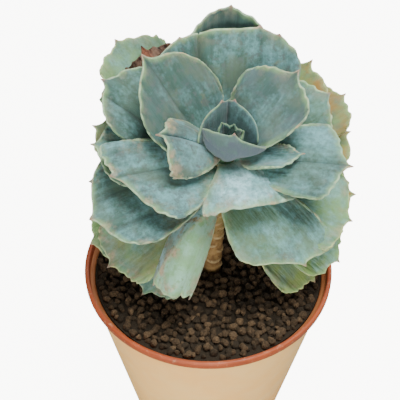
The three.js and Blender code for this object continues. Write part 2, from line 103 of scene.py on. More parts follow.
def round_corner(before, corner, after, radius, steps=5):
    """Points on the round corner of a profile."""
    before, corner, after = (np.array(p, float) for p in (before, corner, after))
    start = corner + (before - corner) / np.linalg.norm(before - corner) * radius
    end = corner + (after - corner) / np.linalg.norm(after - corner) * radius
    t = np.linspace(0, 1, steps)[:, None]
    return list(start * (1 - t) ** 2 + corner * 2 * t * (1 - t) + end * t ** 2)


def pot_profile():
    """The pot's outline from its base, up the wall, over the rim and down to its floor."""
    shoulder = POT_HEIGHT - RIM_BAND
    corners = [
        (0, 0), (POT_BASE_RADIUS, 0), (outer_wall(shoulder), shoulder),
        (POT_RIM_RADIUS, shoulder + 0.3), (POT_RIM_RADIUS, POT_HEIGHT),
        (POT_MOUTH_RADIUS, POT_HEIGHT), (POT_MOUTH_RADIUS - 0.3, shoulder),
        (inner_wall(shoulder - 1.5), shoulder - 1.5), (inner_wall(POT_FLOOR), POT_FLOOR),
        (0, POT_FLOOR)]
    radii = [1.0, 0.15, 0.5, 0.85, 0.8, 0.4, 0.4, 1.5]
    profile = []
    for k, radius in enumerate(radii):
        profile += round_corner(corners[k], corners[k + 1], corners[k + 2], radius)
        if math.dist(profile[-1], corners[k + 2]) > 20 and k + 1 < len(radii):
            start, end = profile[-1], np.array(corners[k + 2])
            profile += [start + (end - start) * t for t in np.linspace(0, 1, 9)[1:-1]]
    return profile


def as_plain_mesh(piece):
    """Turns a piece and its modifiers into a plain mesh."""
    evaluated = piece.evaluated_get(bpy.context.evaluated_depsgraph_get())
    mesh = bpy.data.meshes.new_from_object(evaluated)
    piece.modifiers.clear()
    piece.data = mesh


def colour(red, green, blue):
    """A colour from everyday values of 0 to 255."""
    def linear(value):
        value /= 255
        return value / 12.92 if value <= 0.04045 else ((value + 0.055) / 1.055) ** 2.4
    return (linear(red), linear(green), linear(blue), 1.0)


def new_material(name, finish):
    """A material, its node tree and its shader, with the finish's plain values set on the shader."""
    material = bpy.data.materials.new(name)
    material.use_nodes = True
    shader = material.node_tree.nodes["Principled BSDF"]
    for key, value in finish.items():
        shader.inputs[key].default_value = value
    return material, material.node_tree, shader


def feed(tree, value, socket):
    """Joins a socket to an input, or sets the input to a plain value."""
    if isinstance(value, bpy.types.NodeSocket):
        tree.links.new(value, socket)
    else:
        socket.default_value = value


def add_node(tree, kind, inputs=(), **settings):
    """A node with its settings, and with sockets or plain values on inputs by name or number."""
    node = tree.nodes.new(kind)
    for key, value in settings.items():
        setattr(node, key, value)
    for key, value in dict(inputs).items():
        feed(tree, value, node.inputs[key])
    return node


def mottle_group():
    """A node group: soft patches between 0 and 1, with a chosen size, contrast and amount."""
    group = bpy.data.node_groups.new("soft_mottle", "ShaderNodeTree")
    face = group.interface
    face.new_socket("Vector", in_out="INPUT", socket_type="NodeSocketVector")
    for name, value in (("Scale", 60.0), ("Low", 0.4), ("High", 0.6), ("Detail", 4.0)):
        face.new_socket(name, in_out="INPUT", socket_type="NodeSocketFloat").default_value = value
    face.new_socket("Mask", in_out="OUTPUT", socket_type="NodeSocketFloat")
    start, end = group.nodes.new("NodeGroupInput"), group.nodes.new("NodeGroupOutput")
    noise = add_node(group, "ShaderNodeTexNoise", {
        "Vector": start.outputs["Vector"], "Scale": start.outputs["Scale"],
        "Detail": start.outputs["Detail"], "Roughness": 0.6})
    spread = add_node(group, "ShaderNodeMapRange", {
        "Value": noise.outputs["Fac"], "From Min": start.outputs["Low"],
        "From Max": start.outputs["High"]}, interpolation_type="SMOOTHSTEP")
    group.links.new(spread.outputs["Result"], end.inputs["Mask"])
    return group


SOFT_MOTTLE = mottle_group()


def mottle(tree, vector, scale, low, high, detail=4.0):
    """Places the mottle group in a material and gives its mask."""
    return add_node(tree, "ShaderNodeGroup", {
        "Vector": vector, "Scale": scale, "Low": low, "High": high, "Detail": detail},
        node_tree=SOFT_MOTTLE).outputs["Mask"]


def mix(tree, mask, first, second):
    """Goes from the first colour to the second as the mask goes from 0 to 1."""
    # The node's colours are its inputs 6 and 7, and its mixed colour is its output 2
    node = add_node(tree, "ShaderNodeMix", {0: mask, 6: first, 7: second}, data_type="RGBA")
    return node.outputs[2]


def step(tree, value, low, high, to_low=0.0, to_high=1.0):
    """A smooth step of a value from one range to another."""
    return add_node(tree, "ShaderNodeMapRange", {
        "Value": value, "From Min": low, "From Max": high, "To Min": to_low, "To Max": to_high},
        interpolation_type="SMOOTHSTEP").outputs["Result"]


def times(tree, first, second):
    """The product of two masks, or of a mask and a number."""
    node = add_node(tree, "ShaderNodeMath", {0: first, 1: second}, operation="MULTIPLY")
    return node.outputs["Value"]


def plus(tree, first, second):
    """The sum of two masks, or of a mask and a number."""
    node = add_node(tree, "ShaderNodeMath", {0: first, 1: second}, operation="ADD")
    return node.outputs["Value"]


def add_bump(tree, shader, height, strength, distance):
    """Feeds a relief to the shader's normal, and gives the bump node."""
    bump = add_node(tree, "ShaderNodeBump", {
        "Height": height, "Strength": strength, "Distance": distance})
    tree.links.new(bump.outputs["Normal"], shader.inputs["Normal"])
    return bump


def object_place(tree):
    """Where a point of the piece is, in metres."""
    return add_node(tree, "ShaderNodeTexCoord").outputs["Object"]


def height_of(tree, place):
    """The height of a point above the pot's foot, in metres."""
    return add_node(tree, "ShaderNodeSeparateXYZ", {"Vector": place}).outputs["Z"]


def terracotta_plastic():
    """Moulded plastic with dust on it: an orange rim band, a sand wall, terracotta inside."""
    material, tree, shader = new_material("terracotta_plastic", {"Specular IOR Level": 0.4})
    place = object_place(tree)
    shoulder = (POT_HEIGHT - RIM_BAND) / 1000
    band = step(tree, height_of(tree, place), shoulder - 0.0004, shoulder + 0.0002)
    wall = mix(tree, mottle(tree, place, 22, 0.35, 0.7), colour(255, 208, 128), colour(252, 194, 112))
    rim = mix(tree, mottle(tree, place, 60, 0.4, 0.65), colour(158, 74, 36), colour(142, 62, 28))
    dust = times(tree, mottle(tree, place, 420, 0.55, 0.85), 0.4)
    skin = mix(tree, dust, mix(tree, band, wall, rim), colour(232, 190, 150))

    # A point belongs to the wall's inner face where its radius, less the taper, is small
    flat = add_node(tree, "ShaderNodeVectorMath", {0: place, 1: (1.0, 1.0, 0.0)},
                    operation="MULTIPLY")
    radius = add_node(tree, "ShaderNodeVectorMath", {0: flat.outputs["Vector"]},
                      operation="LENGTH")
    taper = (POT_SHOULDER_RADIUS - POT_BASE_RADIUS) / (POT_HEIGHT - RIM_BAND)
    foot_radius = plus(tree, radius.outputs["Value"], times(tree, height_of(tree, place), -taper))
    wall_middle = (POT_BASE_RADIUS - POT_WALL / 2) / 1000
    inside = step(tree, foot_radius, wall_middle + 0.0008, wall_middle + 0.0004)
    # The rounded foot falls inside this radius too, which paints a thin dark ring where the pot meets
    # the floor, a painted contact shadow
    skin = mix(tree, times(tree, inside, 0.85), skin, colour(150, 72, 46))

    rough = step(tree, mottle(tree, place, 90, 0.3, 0.7), 0, 1, 0.42, 0.62)
    tree.links.new(skin, shader.inputs["Base Color"])
    tree.links.new(rough, shader.inputs["Roughness"])
    add_bump(tree, shader, mottle(tree, place, 900, 0.2, 0.8), 0.12, 0.0002)
    return material


pot_outline = pot_profile()
pot = mesh_object("moulded_pot", turned_points(pot_outline, POT_SIDES),
                  ring_faces(len(pot_outline), POT_SIDES))
drills = []
for k in range(DRAIN_COUNT):
    turn = 2 * math.pi * k / DRAIN_COUNT
    middle = (DRAIN_CIRCLE * math.cos(turn), DRAIN_CIRCLE * math.sin(turn))
    drill = mesh_object(f"drill_{k}", turned_points(
        [(DRAIN_RADIUS, -1), (DRAIN_RADIUS, POT_FLOOR + 1)], DRAIN_SIDES, middle),
        ring_faces(2, DRAIN_SIDES))
    cut = pot.modifiers.new("drain", "BOOLEAN")
    cut.object = drill
    cut.operation = "DIFFERENCE"
    drills.append(drill)
as_plain_mesh(pot)
for drill in drills:
    bpy.data.objects.remove(drill)
pot.data.set_sharp_from_angle(angle=math.radians(40))
pot.data.materials.append(terracotta_plastic())
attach(pot, "root")
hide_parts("pot")

# Soil
# Dry lava and pumice grit poured round the stem, a few millimetres below the rim.
# A dark bed fills the pot, and loose angular crumbs of 2 to 4.5 mm lie packed on it.
SOIL_HEIGHT = 87.0
BED_TOP = SOIL_HEIGHT - 1.6
BED_SIDES = 96
STEM_FOOT = (1.5, 0.0, SOIL_HEIGHT)
STEM_DEPTH = 22.0
STEM_RADIUS = 4.7
GAP = 0.3
CRUMBS_PER_M2 = 400000.0
DENT_CELLS = 480.0
DENT_DEPTH = -0.0011
DENT_START = 0.0003
# Two grades of crumbs: distance apart, half sizes, and how far they sit above the bed
COARSE_CRUMBS = {"Spacing": 3.1, "Small": 1.5, "Large": 2.2, "Sink": 0.4, "Lift": 1.5, "Seed": 3}
FINE_CRUMBS = {"Spacing": 1.9, "Small": 1.1, "Large": 1.7, "Sink": 0.2, "Lift": 1.2, "Seed": 8}


def soil_bed():
    """The bed of dust and fine grit below the crumbs, with the hole that the stem stands in."""
    top = inner_wall(BED_TOP) - GAP
    outline = [(inner_wall(POT_FLOOR) - 1.6, POT_FLOOR + GAP), (top, BED_TOP)]
    outline += [(top * share, BED_TOP) for share in (0.85, 0.65, 0.45)]
    hole = [(STEM_RADIUS + GAP, BED_TOP), (STEM_RADIUS + GAP, BED_TOP - STEM_DEPTH)]
    bed = turned_points(outline, BED_SIDES)
    sunk = turned_points(hole, BED_SIDES, STEM_FOOT[:2])
    points = np.vstack([bed[:-2], sunk[:-2], bed[-2], sunk[-1]])
    return mesh_object("grit_bed", points, ring_faces(len(outline) + 2, BED_SIDES), smooth=False)


def crumb_scatter():
    """Geometry nodes: crumbs scattered over a surface, turned, stretched and dented at random."""
    tree = bpy.data.node_groups.new("scattered_crumbs", "GeometryNodeTree")
    face = tree.interface
    face.new_socket("Geometry", in_out="INPUT", socket_type="NodeSocketGeometry")
    for name in ("Spacing", "Small", "Large", "Sink", "Lift"):
        face.new_socket(name, in_out="INPUT", socket_type="NodeSocketFloat")
    face.new_socket("Seed", in_out="INPUT", socket_type="NodeSocketInt")
    face.new_socket("Material", in_out="INPUT", socket_type="NodeSocketMaterial")
    face.new_socket("Geometry", in_out="OUTPUT", socket_type="NodeSocketGeometry")
    start, end = tree.nodes.new("NodeGroupInput"), tree.nodes.new("NodeGroupOutput")
    given = start.outputs

    # Crumbs at scattered places, each turned and stretched at random
    scatter = add_node(tree, "GeometryNodeDistributePointsOnFaces", {
        "Mesh": given["Geometry"], "Distance Min": given["Spacing"],
        "Density Max": CRUMBS_PER_M2, "Seed": given["Seed"]}, distribute_method="POISSON")
    crumb = add_node(tree, "GeometryNodeMeshIcoSphere", {"Radius": 1.0, "Subdivisions": 2})
    turn = add_node(tree, "FunctionNodeRandomValue", {
        1: (2 * math.pi, 2 * math.pi, 2 * math.pi), "Seed": given["Seed"]},
        data_type="FLOAT_VECTOR")
    size = add_node(tree, "FunctionNodeRandomValue", {
        0: given["Small"], 1: given["Large"], "Seed": given["Seed"]}, data_type="FLOAT_VECTOR")
    place = add_node(tree, "GeometryNodeInstanceOnPoints", {
        "Points": scatter.outputs["Points"], "Instance": crumb.outputs["Mesh"],
        "Rotation": turn.outputs[0], "Scale": size.outputs[0]})

    # Each lifted by an amount of its own
    height = add_node(tree, "FunctionNodeRandomValue", {
        2: given["Sink"], 3: given["Lift"], "Seed": given["Seed"]}, data_type="FLOAT")
    upwards = add_node(tree, "ShaderNodeCombineXYZ", {"Z": height.outputs[1]})
    settle = add_node(tree, "GeometryNodeTranslateInstances", {
        "Instances": place.outputs["Instances"], "Translation": upwards.outputs["Vector"],
        "Local Space": False})

    # Each with a tone of its own, before they become one mesh
    tone = add_node(tree, "FunctionNodeRandomValue", {"Seed": given["Seed"]}, data_type="FLOAT")
    mark = add_node(tree, "GeometryNodeStoreNamedAttribute", {
        "Geometry": settle.outputs["Instances"], "Name": "tone", "Value": tone.outputs[1]},
        data_type="FLOAT", domain="INSTANCE")
    whole = add_node(tree, "GeometryNodeRealizeInstances", {"Geometry": mark.outputs["Geometry"]})

    # Pushed in and out by cells, which leaves angular facets
    spot = add_node(tree, "GeometryNodeInputPosition")
    cells = add_node(tree, "ShaderNodeTexVoronoi", {
        "Vector": spot.outputs["Position"], "Scale": DENT_CELLS})
    depth = add_node(tree, "ShaderNodeMath", {
        0: cells.outputs["Distance"], 1: DENT_DEPTH, 2: DENT_START}, operation="MULTIPLY_ADD")
    facing = add_node(tree, "GeometryNodeInputNormal")
    dent = add_node(tree, "ShaderNodeVectorMath", {
        0: facing.outputs["Normal"], "Scale": depth.outputs["Value"]}, operation="SCALE")
    shape = add_node(tree, "GeometryNodeSetPosition", {
        "Geometry": whole.outputs["Geometry"], "Offset": dent.outputs["Vector"]})
    flat = add_node(tree, "GeometryNodeSetShadeSmooth", {
        "Geometry": shape.outputs["Geometry"], "Shade Smooth": False})
    paint = add_node(tree, "GeometryNodeSetMaterial", {
        "Geometry": flat.outputs["Geometry"], "Material": given["Material"]})
    tree.links.new(paint.outputs["Geometry"], end.inputs["Geometry"])
    return tree


def crumbs(name, sizes, tree, grit):
    """Scatters one grade of crumbs over the bed, clear of the pot's wall and of the stem."""
    reach = inner_wall(BED_TOP) - sizes["Large"] * 0.7 - GAP
    clear = STEM_RADIUS + sizes["Large"] * 0.9
    outside = turned_points([(reach, BED_TOP)], BED_SIDES)[:-2]
    inside = turned_points([(clear, BED_TOP)], BED_SIDES, STEM_FOOT[:2])[:-2]
    strip = [(j, (j + 1) % BED_SIDES, BED_SIDES + (j + 1) % BED_SIDES, BED_SIDES + j)
             for j in range(BED_SIDES)]
    piece = mesh_object(name, np.vstack([outside, inside]), strip)
    modifier = piece.modifiers.new("scatter", "NODES")
    modifier.node_group = tree
    values = {key: size / 1000 for key, size in sizes.items()}
    values.update(Seed=sizes["Seed"], Material=grit)
    for item in tree.interface.items_tree:
        if item.in_out == "INPUT" and item.name in values:
            modifier[item.identifier] = values[item.name]
    as_plain_mesh(piece)
    return piece


def volcanic_grit():
    """Porous lava and pumice, each crumb between near black and warm brown."""
    material, tree, shader = new_material(
        "volcanic_grit", {"Roughness": 0.93, "Specular IOR Level": 0.25})
    place = object_place(tree)
    tone = add_node(tree, "ShaderNodeAttribute", attribute_name="tone").outputs["Fac"]
    dark = mix(tree, step(tree, tone, 0.0, 0.6), colour(50, 42, 31), colour(80, 64, 46))
    warm = mix(tree, step(tree, tone, 0.6, 1.0), dark, colour(104, 84, 61))
    pores = mottle(tree, place, 1500, 0.35, 0.65)
    crust = mix(tree, pores, mix(tree, 0.5, warm, colour(26, 21, 16)), warm)
    tree.links.new(crust, shader.inputs["Base Color"])
    add_bump(tree, shader, mottle(tree, place, 2400, 0.3, 0.7), 0.5, 0.0004)
    return material


grit = volcanic_grit()
bed = soil_bed()
bed.data.materials.append(grit)
scatter_tree = crumb_scatter()
coarse = crumbs("coarse_crumbs", COARSE_CRUMBS, scatter_tree, grit)
fine = crumbs("fine_crumbs", FINE_CRUMBS, scatter_tree, grit)
for piece in (bed, coarse, fine):
    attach(piece, "root")
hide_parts("soil")

# Stem
# A short tan stem, bare below the rosette and ringed with the scars of dropped leaves.
# It stands in the grit and leans to the front under the rosette's weight.
CROWN = np.array([6.0, 0.0, 150.0])
TILT = 22.0
LEAN = 6.0
STEM_TOP_RADIUS = 1.4
STEM_TOP = 3.5
STEM_TAPER = 14.0
STEM_SIDES = 72
STEM_RINGS = 200
SCAR_PITCH = 1.35
SCAR_TURN = 2.39996
SCAR_RELIEF = 0.55
SCAR_ANGLE = 0.95
SCAR_REACH = 4
LIP_HEIGHT = 0.42
PALE_HEIGHT = 0.8


def unit(vectors):
    """A vector, or rows of vectors, at length one."""
    vectors = np.asarray(vectors, float)
    return vectors / np.maximum(np.linalg.norm(vectors, axis=-1, keepdims=True), 1e-9)


tilt, lean = math.radians(TILT), math.radians(LEAN)
AXIS = unit([math.sin(lean), -math.sin(tilt) * math.cos(lean), math.cos(tilt) * math.cos(lean)])
RIGHT = unit(np.array([1.0, 0, 0]) - AXIS * AXIS[0])
BACK = np.cross(AXIS, RIGHT)
STEM_LENGTH = float(np.linalg.norm(CROWN - np.array(STEM_FOOT)))
STEM_KNEE = CROWN - AXIS * STEM_LENGTH * 0.45


def stem_point(h):
    """A point on the stem's centre line, h above the crown or below it."""
    if h > 0:
        return CROWN + AXIS * h
    t = min(-h / STEM_LENGTH, 1)
    return CROWN * (1 - t) ** 2 + STEM_KNEE * 2 * t * (1 - t) + np.array(STEM_FOOT) * t * t


def stem_radius(h):
    """The stem's radius, which tapers to the crown."""
    t = min(max((STEM_TOP - h) / STEM_TAPER, 0), 1)
    return STEM_TOP_RADIUS + (STEM_RADIUS - STEM_TOP_RADIUS) * t * t * (3 - 2 * t)


def scarred_stem():
    """Rings along the stem, with a crescent lip under each place where a leaf grew."""
    draw = random.Random(5)
    scars = [(-STEM_LENGTH + 1 + k * SCAR_PITCH, k * SCAR_TURN + draw.uniform(-0.25, 0.25))
             for k in range(int(STEM_LENGTH / SCAR_PITCH))]
    heights = np.concatenate([
        -STEM_LENGTH - np.linspace(STEM_DEPTH, 0.5, 6),
        np.linspace(-STEM_LENGTH, STEM_TOP, STEM_RINGS)])
    angle = np.arange(STEM_SIDES) * 2 * math.pi / STEM_SIDES
    rings = []
    marks = []
    for h in heights:
        buried = min(h + STEM_LENGTH, 0)
        along = np.array([0, 0, 1.0])
        if buried == 0:
            along = unit(stem_point(h + 0.5) - stem_point(h - 0.5))
        side = unit(np.array([1.0, 0, 0]) - along * along[0])
        back = np.cross(along, side)
        radius = np.full(STEM_SIDES, stem_radius(h) - 2 * GAP)
        mark = np.zeros(STEM_SIDES)
        for height, turn in scars:
            if abs(h - height) < SCAR_REACH:
                across = ((angle - turn + math.pi) % (2 * math.pi) - math.pi) / SCAR_ANGLE
                crescent = h - height + (1 - across ** 2)
                reach = np.exp(-across ** 4)
                radius += SCAR_RELIEF * np.exp(-(crescent / LIP_HEIGHT) ** 2) * reach
                mark = np.maximum(mark, reach * np.exp(-(crescent / PALE_HEIGHT) ** 2))
        outwards = np.cos(angle)[:, None] * side + np.sin(angle)[:, None] * back
        centre = stem_point(max(h, -STEM_LENGTH)) + np.array([0, 0, buried])
        rings.append(centre + radius[:, None] * outwards)
        marks.append(mark)
    points = np.vstack(rings + [rings[0].mean(0), rings[-1].mean(0)])
    piece = mesh_object("scarred_stem", points, ring_faces(len(rings), STEM_SIDES))
    scar = piece.data.attributes.new("scar", "FLOAT", "POINT")
    scar.data.foreach_set("value", np.concatenate([*marks, [0, 0]]).astype(np.float32))
    return piece


def corky_skin():
    """Corky skin: tan above, browner towards the soil, green at the top and darkened there as painted
    shade under the heart, pale on each scar.
    """
    material, tree, shader = new_material("corky_skin", {"Roughness": 0.8, "Specular IOR Level": 0.3})
    place = object_place(tree)
    low = mix(tree, mottle(tree, place, 260, 0.35, 0.65), colour(116, 88, 52), colour(154, 124, 78))
    high = mix(tree, mottle(tree, place, 200, 0.4, 0.7), colour(176, 148, 92), colour(150, 156, 98))
    skin = mix(tree, step(tree, height_of(tree, place), 0.098, 0.125), low, high)
    # Green young skin at the top, darkened with painted shade where the heart's leaves shade it
    skin = mix(tree, step(tree, height_of(tree, place), 0.13, 0.14), skin, colour(88, 124, 96))
    scar = add_node(tree, "ShaderNodeAttribute", attribute_name="scar").outputs["Fac"]
    skin = mix(tree, step(tree, scar, 0.3, 0.95, 0, 0.7), skin, colour(196, 172, 126))
    skin = mix(tree, mottle(tree, place, 900, 0.55, 0.75), skin, colour(96, 64, 42))
    tree.links.new(skin, shader.inputs["Base Color"])
    add_bump(tree, shader, mottle(tree, place, 700, 0.3, 0.7), 0.4, 0.0004)
    return material


stem = scarred_stem()
stem.data.materials.append(corky_skin())
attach(stem, "root")
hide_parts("stem")

# Leaves
# Fleshy blue-grey leaves under a powdery wax, with thin pale margins, in a monstrose rosette:
# some are doubled, cut off, folded or rolled, and one is dead and dried. Each grows from the
# stem, the youngest at the heart.
BLADE_MIDDLE = 2.2
BLADE_EDGE = 0.7
RIM_ROUND = 0.5
BLADE_STEPS = 48
BLADE_REACH = 1.15
SECTION_STEPS = 24
CURL_FROM = 0.6
ROOT_CLASP = 0.9
TIP_WIDTH = 0.07
SPINE_WIDTH = 0.02
SPINE_LENGTH = 0.45
LEAF_ROWS = 37
END_ROWS = (0.988, 0.995, 0.9985, 1.0)
LEAF_COLUMNS = 60
FOLD_SPREAD = 0.003
FLANK_SHARPNESS = 12
RIDGE_PALLOR = 0.3
PATTERN_SHIFT = 0.137

# One row for each leaf, from the heart outwards, in millimetres and degrees.
# at: height on the stem from the crown. turn: 0 right, 90 back, 180 left, 270 front.
# rise: slope above the rosette's plane at root and tip. cup: side-to-side curl at root and tip.
# long, wide: length and half width. left: how much wider the left half is. cap: how far the
# end is rounded. skew: how far it is cut off aslant. root: width at the root. swell: how late
# the blade widens. tips: place across and length of each tip.
# keel: fold along the midrib. crease: place across, depth and width of each groove, which
# slant turns over the blade. curl, roll: bend of the end, and twist.
# wave, waves, ripple, dent: large and small unevenness.
# rim: width of the pale margin. bloom: pale wax. green, warm: age colours. grape: purple-grey
# bloom. worn: rubbed wax. rust: blemishes.
LEAF = dict(
    at=0, turn=0, rise=(40, 20), long=48, wide=18, cap=16, cup=(40, 25), tips=((0, 2.5),),
    root=0.2, swell=0.9, keel=0, crease=(), slant=0, left=1, skew=0, curl=0, roll=0, wave=0, waves=2,
    ripple=0.75, dent=0.5, rim=1.0, bloom=0.5, green=0.1, warm=0.0, grape=0.15, worn=0.3, rust=0.25)
BUD = dict(rise=(70, 86), wide=3, cap=2.7, cup=(60, 60), ripple=0.1, dent=0.1, rim=0.2,
           rust=0, green=0.5, bloom=0.3)
OUTER = dict(cap=8, cup=(24, 10), green=0.35, ripple=1.1)
LEAVES = [
    dict(BUD, name="bud_leaf_1", at=3, turn=130, long=8.5, green=0),
    dict(BUD, name="bud_leaf_2", at=3, turn=10, long=8.5),
    dict(BUD, name="bud_leaf_3", at=2, turn=325, rise=(60, 82), long=7.5),
    dict(BUD, name="bud_leaf_4", at=2, turn=70, rise=(66, 84), long=7.5),
    dict(name="heart_leaf_back", at=0, turn=95, rise=(56, 72), long=16, wide=13, cap=13,
         cup=(60, 55), tips=((-0.1, 1.5), (0.13, 1.5)), root=0.5, crease=((0, 1.8, 0.12),),
         ripple=0.2, dent=0.2, worn=0.1, rust=0, bloom=0.15, rim=0.35, green=0, grape=0.4),
    dict(name="heart_leaf_front", at=-1, turn=282, rise=(66, 112), long=16.5, wide=14, cap=9,
         cup=(60, 45), tips=((0, 1.5),), root=0.15, swell=0.95, skew=-3, roll=-24, ripple=0.3,
         dent=0.2, grape=1.8, worn=0.1, rust=0.1, bloom=-0.1, rim=0.35, green=0),
    dict(name="inner_leaf_left_curled", at=-3, turn=187, rise=(54, 28), long=25, wide=10,
         cap=8, cup=(-10, -50), left=1.45, crease=((0, 2, 0.1),), grape=0.4, worn=1.0,
         rust=1.0, bloom=0.35),
    dict(name="inner_leaf_right", at=-4, turn=47, rise=(52, 38), long=34, wide=16, cap=9,
         cup=(40, 15), left=0.78, tips=((-0.1, 3),), swell=0.8, skew=-1, grape=0.6,
         bloom=0.05, worn=0.6),
    dict(name="inner_leaf_right_folded", at=-6, turn=352, rise=(34, 28), long=23.5, wide=8.5,
         left=0.45, cap=7, cup=(40, 60), worn=0.1, rust=0.5, bloom=0.6),
    dict(name="inner_leaf_left", at=-7, turn=141, rise=(44, 42), long=41, wide=15.5, cap=20,
         cup=(20, 8), tips=((0.1, 4),), left=1.2, crease=((0.2, 1.5, 0.15),), swell=0.78,
         roll=-6, worn=1.0, grape=0.3, bloom=-0.05),
    dict(name="inner_leaf_front", at=-5, turn=294, rise=(26, 8), long=21.5, wide=18, cap=0,
         cup=(-10, -25), curl=-25, tips=((0.85, 3),), left=1.2, swell=1.2, skew=4, worn=0.4,
         rust=0.6, bloom=1.2, rim=1.4),
    dict(name="middle_leaf_back_double", at=-9, turn=94, rise=(44, 36), long=44, wide=27.5,
         cap=15, cup=(40, 15), tips=((-0.3, 1.5), (-0.5, 1), (0.43, 1)),
         crease=((0.36, 2.6, 0.05),), skew=-2, worn=0.9, bloom=0.2),
    dict(name="middle_leaf_left", at=-8, turn=199, rise=(26, 2), long=37, wide=12, left=1.75,
         cap=8, cup=(20, 0), crease=((0.1, 1.2, 0.08),), skew=-9, roll=-8, worn=0.7,
         rust=0.7, bloom=0.4),
    dict(name="middle_leaf_right", at=-8, turn=350, rise=(31, 14), long=39, wide=14.5, cap=8,
         cup=(20, 10), tips=((0, 4),), crease=((0, 1, 0.08),), roll=8, bloom=0.3),
    dict(name="middle_leaf_back_right", at=-13, turn=31, rise=(32, 24), long=41, wide=15,
         cap=12, cup=(15, 5), roll=8, green=0.3, bloom=0.3),
    dict(name="middle_leaf_fan_upper", at=-12, turn=155, rise=(26, 20), long=47, wide=15,
         cap=14, cup=(25, 15), crease=((0.3, 1, 0.1),), roll=-8, bloom=-0.05),
    dict(name="middle_leaf_fan_lower", at=-13, turn=179, rise=(17, 8), long=42, wide=14,
         cap=12, cup=(20, 10), crease=((-0.2, 1, 0.1),), roll=-12, bloom=0.2),
    dict(name="middle_leaf_front_left", at=-15, turn=207, rise=(11, -7), long=46, wide=21,
         left=0.85, cap=16, cup=(25, 10), crease=((-0.25, 1, 0.12), (0.35, 0.8, 0.12)),
         roll=-4, rust=0.5, bloom=0.25, worn=0.5),
    # Its bloom below zero darkens its cupped inner face, as painted shade
    dict(name="middle_leaf_back", at=-19, turn=92, rise=(16, 76), long=61, wide=16.5, cap=13,
         cup=(26, 46), tips=((0, 1.2),), swell=1.7, green=0.0, bloom=-0.9),
    dict(name="middle_leaf_front_hanging", at=-15, turn=250, rise=(0, -30), long=48, wide=15,
         cap=5, cup=(-20, -40), keel=-34, tips=((0.85, 3), (-0.55, 1), (0.25, -1.5)),
         left=0.65, crease=((0.5, -2.2, 0.3),), slant=-1.3, green=0.3, worn=0.9,
         rust=1.3, bloom=1.6),
    dict(name="middle_leaf_front_right", at=-14, turn=311, rise=(4, -14), long=41, wide=18,
         left=0.95, cap=6, cup=(10, -20), crease=((0.25, -1.2, 0.15),), skew=8, roll=5,
         green=0.4, bloom=0.55, worn=0.6),
    dict(name="dried_leaf", at=-18, turn=129, rise=(28, 24), long=49, wide=15, cap=6,
         cup=(20, 10), wave=1.2, waves=3, roll=-6, dent=2.2, ripple=2.0),
    dict(OUTER, name="outer_leaf_back_right", at=-17, turn=51, rise=(28, 20), long=48,
         wide=15, roll=-8, warm=1.3, bloom=0.0, green=1.0),
    dict(OUTER, name="outer_leaf_right_1", at=-19, turn=34, rise=(20, 12), long=51.5, wide=14,
         roll=-8, green=0.9, warm=0.9, bloom=0.0),
    dict(OUTER, name="outer_leaf_right_4", at=-19, turn=343, rise=(4, -5), long=46, wide=17,
         cap=6, green=1.2, rust=0.5, bloom=0.7),
    dict(OUTER, name="outer_leaf_right_2", at=-21, turn=22, rise=(12, 6), long=48, wide=14,
         roll=-8, green=1.3, warm=0.8, bloom=0.0),
    dict(OUTER, name="outer_leaf_right_3", at=-24, turn=0, rise=(2, -6), long=48, wide=13,
         roll=-6, warm=1.0, rust=0.6, green=0.8),
    dict(OUTER, name="outer_leaf_back_left", at=-19, turn=134, rise=(24, 18), long=58,
         wide=16, roll=8, green=0.9, bloom=0.4),
    dict(OUTER, name="outer_leaf_left_1", at=-21, turn=141, rise=(17, 11), long=52, wide=14,
         roll=8, green=0.7, bloom=0.5),
    dict(OUTER, name="outer_leaf_left_2", at=-22, turn=160, rise=(9, 2), long=46, wide=14,
         roll=8, green=0.9, warm=0.3),
    dict(OUTER, name="outer_leaf_left_3", at=-24, turn=183, rise=(4, -4), long=43, wide=14,
         roll=6, green=0.3),
    dict(OUTER, name="outer_leaf_front_left_2", at=-21, turn=217, rise=(-10, -36), long=49,
         wide=15, roll=-6, green=1.0, rust=0.9, bloom=0.5, warm=0.3),
    dict(OUTER, name="outer_leaf_front_right_1", at=-23, turn=333, rise=(-4, -26), long=51,
         wide=13, roll=8, green=1.4, bloom=0.8),
    dict(OUTER, name="outer_leaf_front_left_1", at=-25, turn=203, rise=(-12, -28), long=49,
         wide=13, roll=-10, green=1.0),
    dict(OUTER, name="outer_leaf_front_right_2", at=-26, turn=323, rise=(-10, -30), long=48,
         wide=14, roll=4, green=1.5, rust=0.6, bloom=0.9, warm=0.2),
    dict(OUTER, name="outer_leaf_front_left_3", at=-27, turn=233, rise=(-20, -46), long=46,
         wide=13, roll=-4, green=0.3, rust=0.8),
]

# The two lowest whorls stand behind, hidden from the front
REAR_WHORLS = [
    dict(at=-25, first=62, step=26, count=3, rise=(10, 0), long=47),
    dict(at=-28, first=10, step=33, count=5, rise=(-10, -28), long=43),
]
REAR = dict(wide=13, cap=7, cup=(12, 4), roll=16, green=0.5, ripple=0.6)
REAR_JITTER = 2
REAR_SEED = 7
DRAW_FACTOR = 1664525
DRAW_STEP = 1013904223
DRAW_RANGE = 2 ** 32


def rear_leaves():
    """The rows of the rear leaves, turned and raised by small seeded draws."""
    state = REAR_SEED

    def jitter():
        nonlocal state
        state = (state * DRAW_FACTOR + DRAW_STEP) % DRAW_RANGE
        return REAR_JITTER * (2 * state / DRAW_RANGE - 1)

    rows = []
    for whorl in REAR_WHORLS:
        for k in range(whorl["count"]):
            row = dict(REAR, name=f"rear_leaf_{len(rows) + 1}")
            row["at"] = whorl["at"] + jitter() / 3
            row["turn"] = whorl["first"] + whorl["step"] * k + jitter()
            row["rise"] = tuple(slope + jitter() for slope in whorl["rise"])
            row["long"] = whorl["long"] + jitter()
            rows.append(row)
    return rows


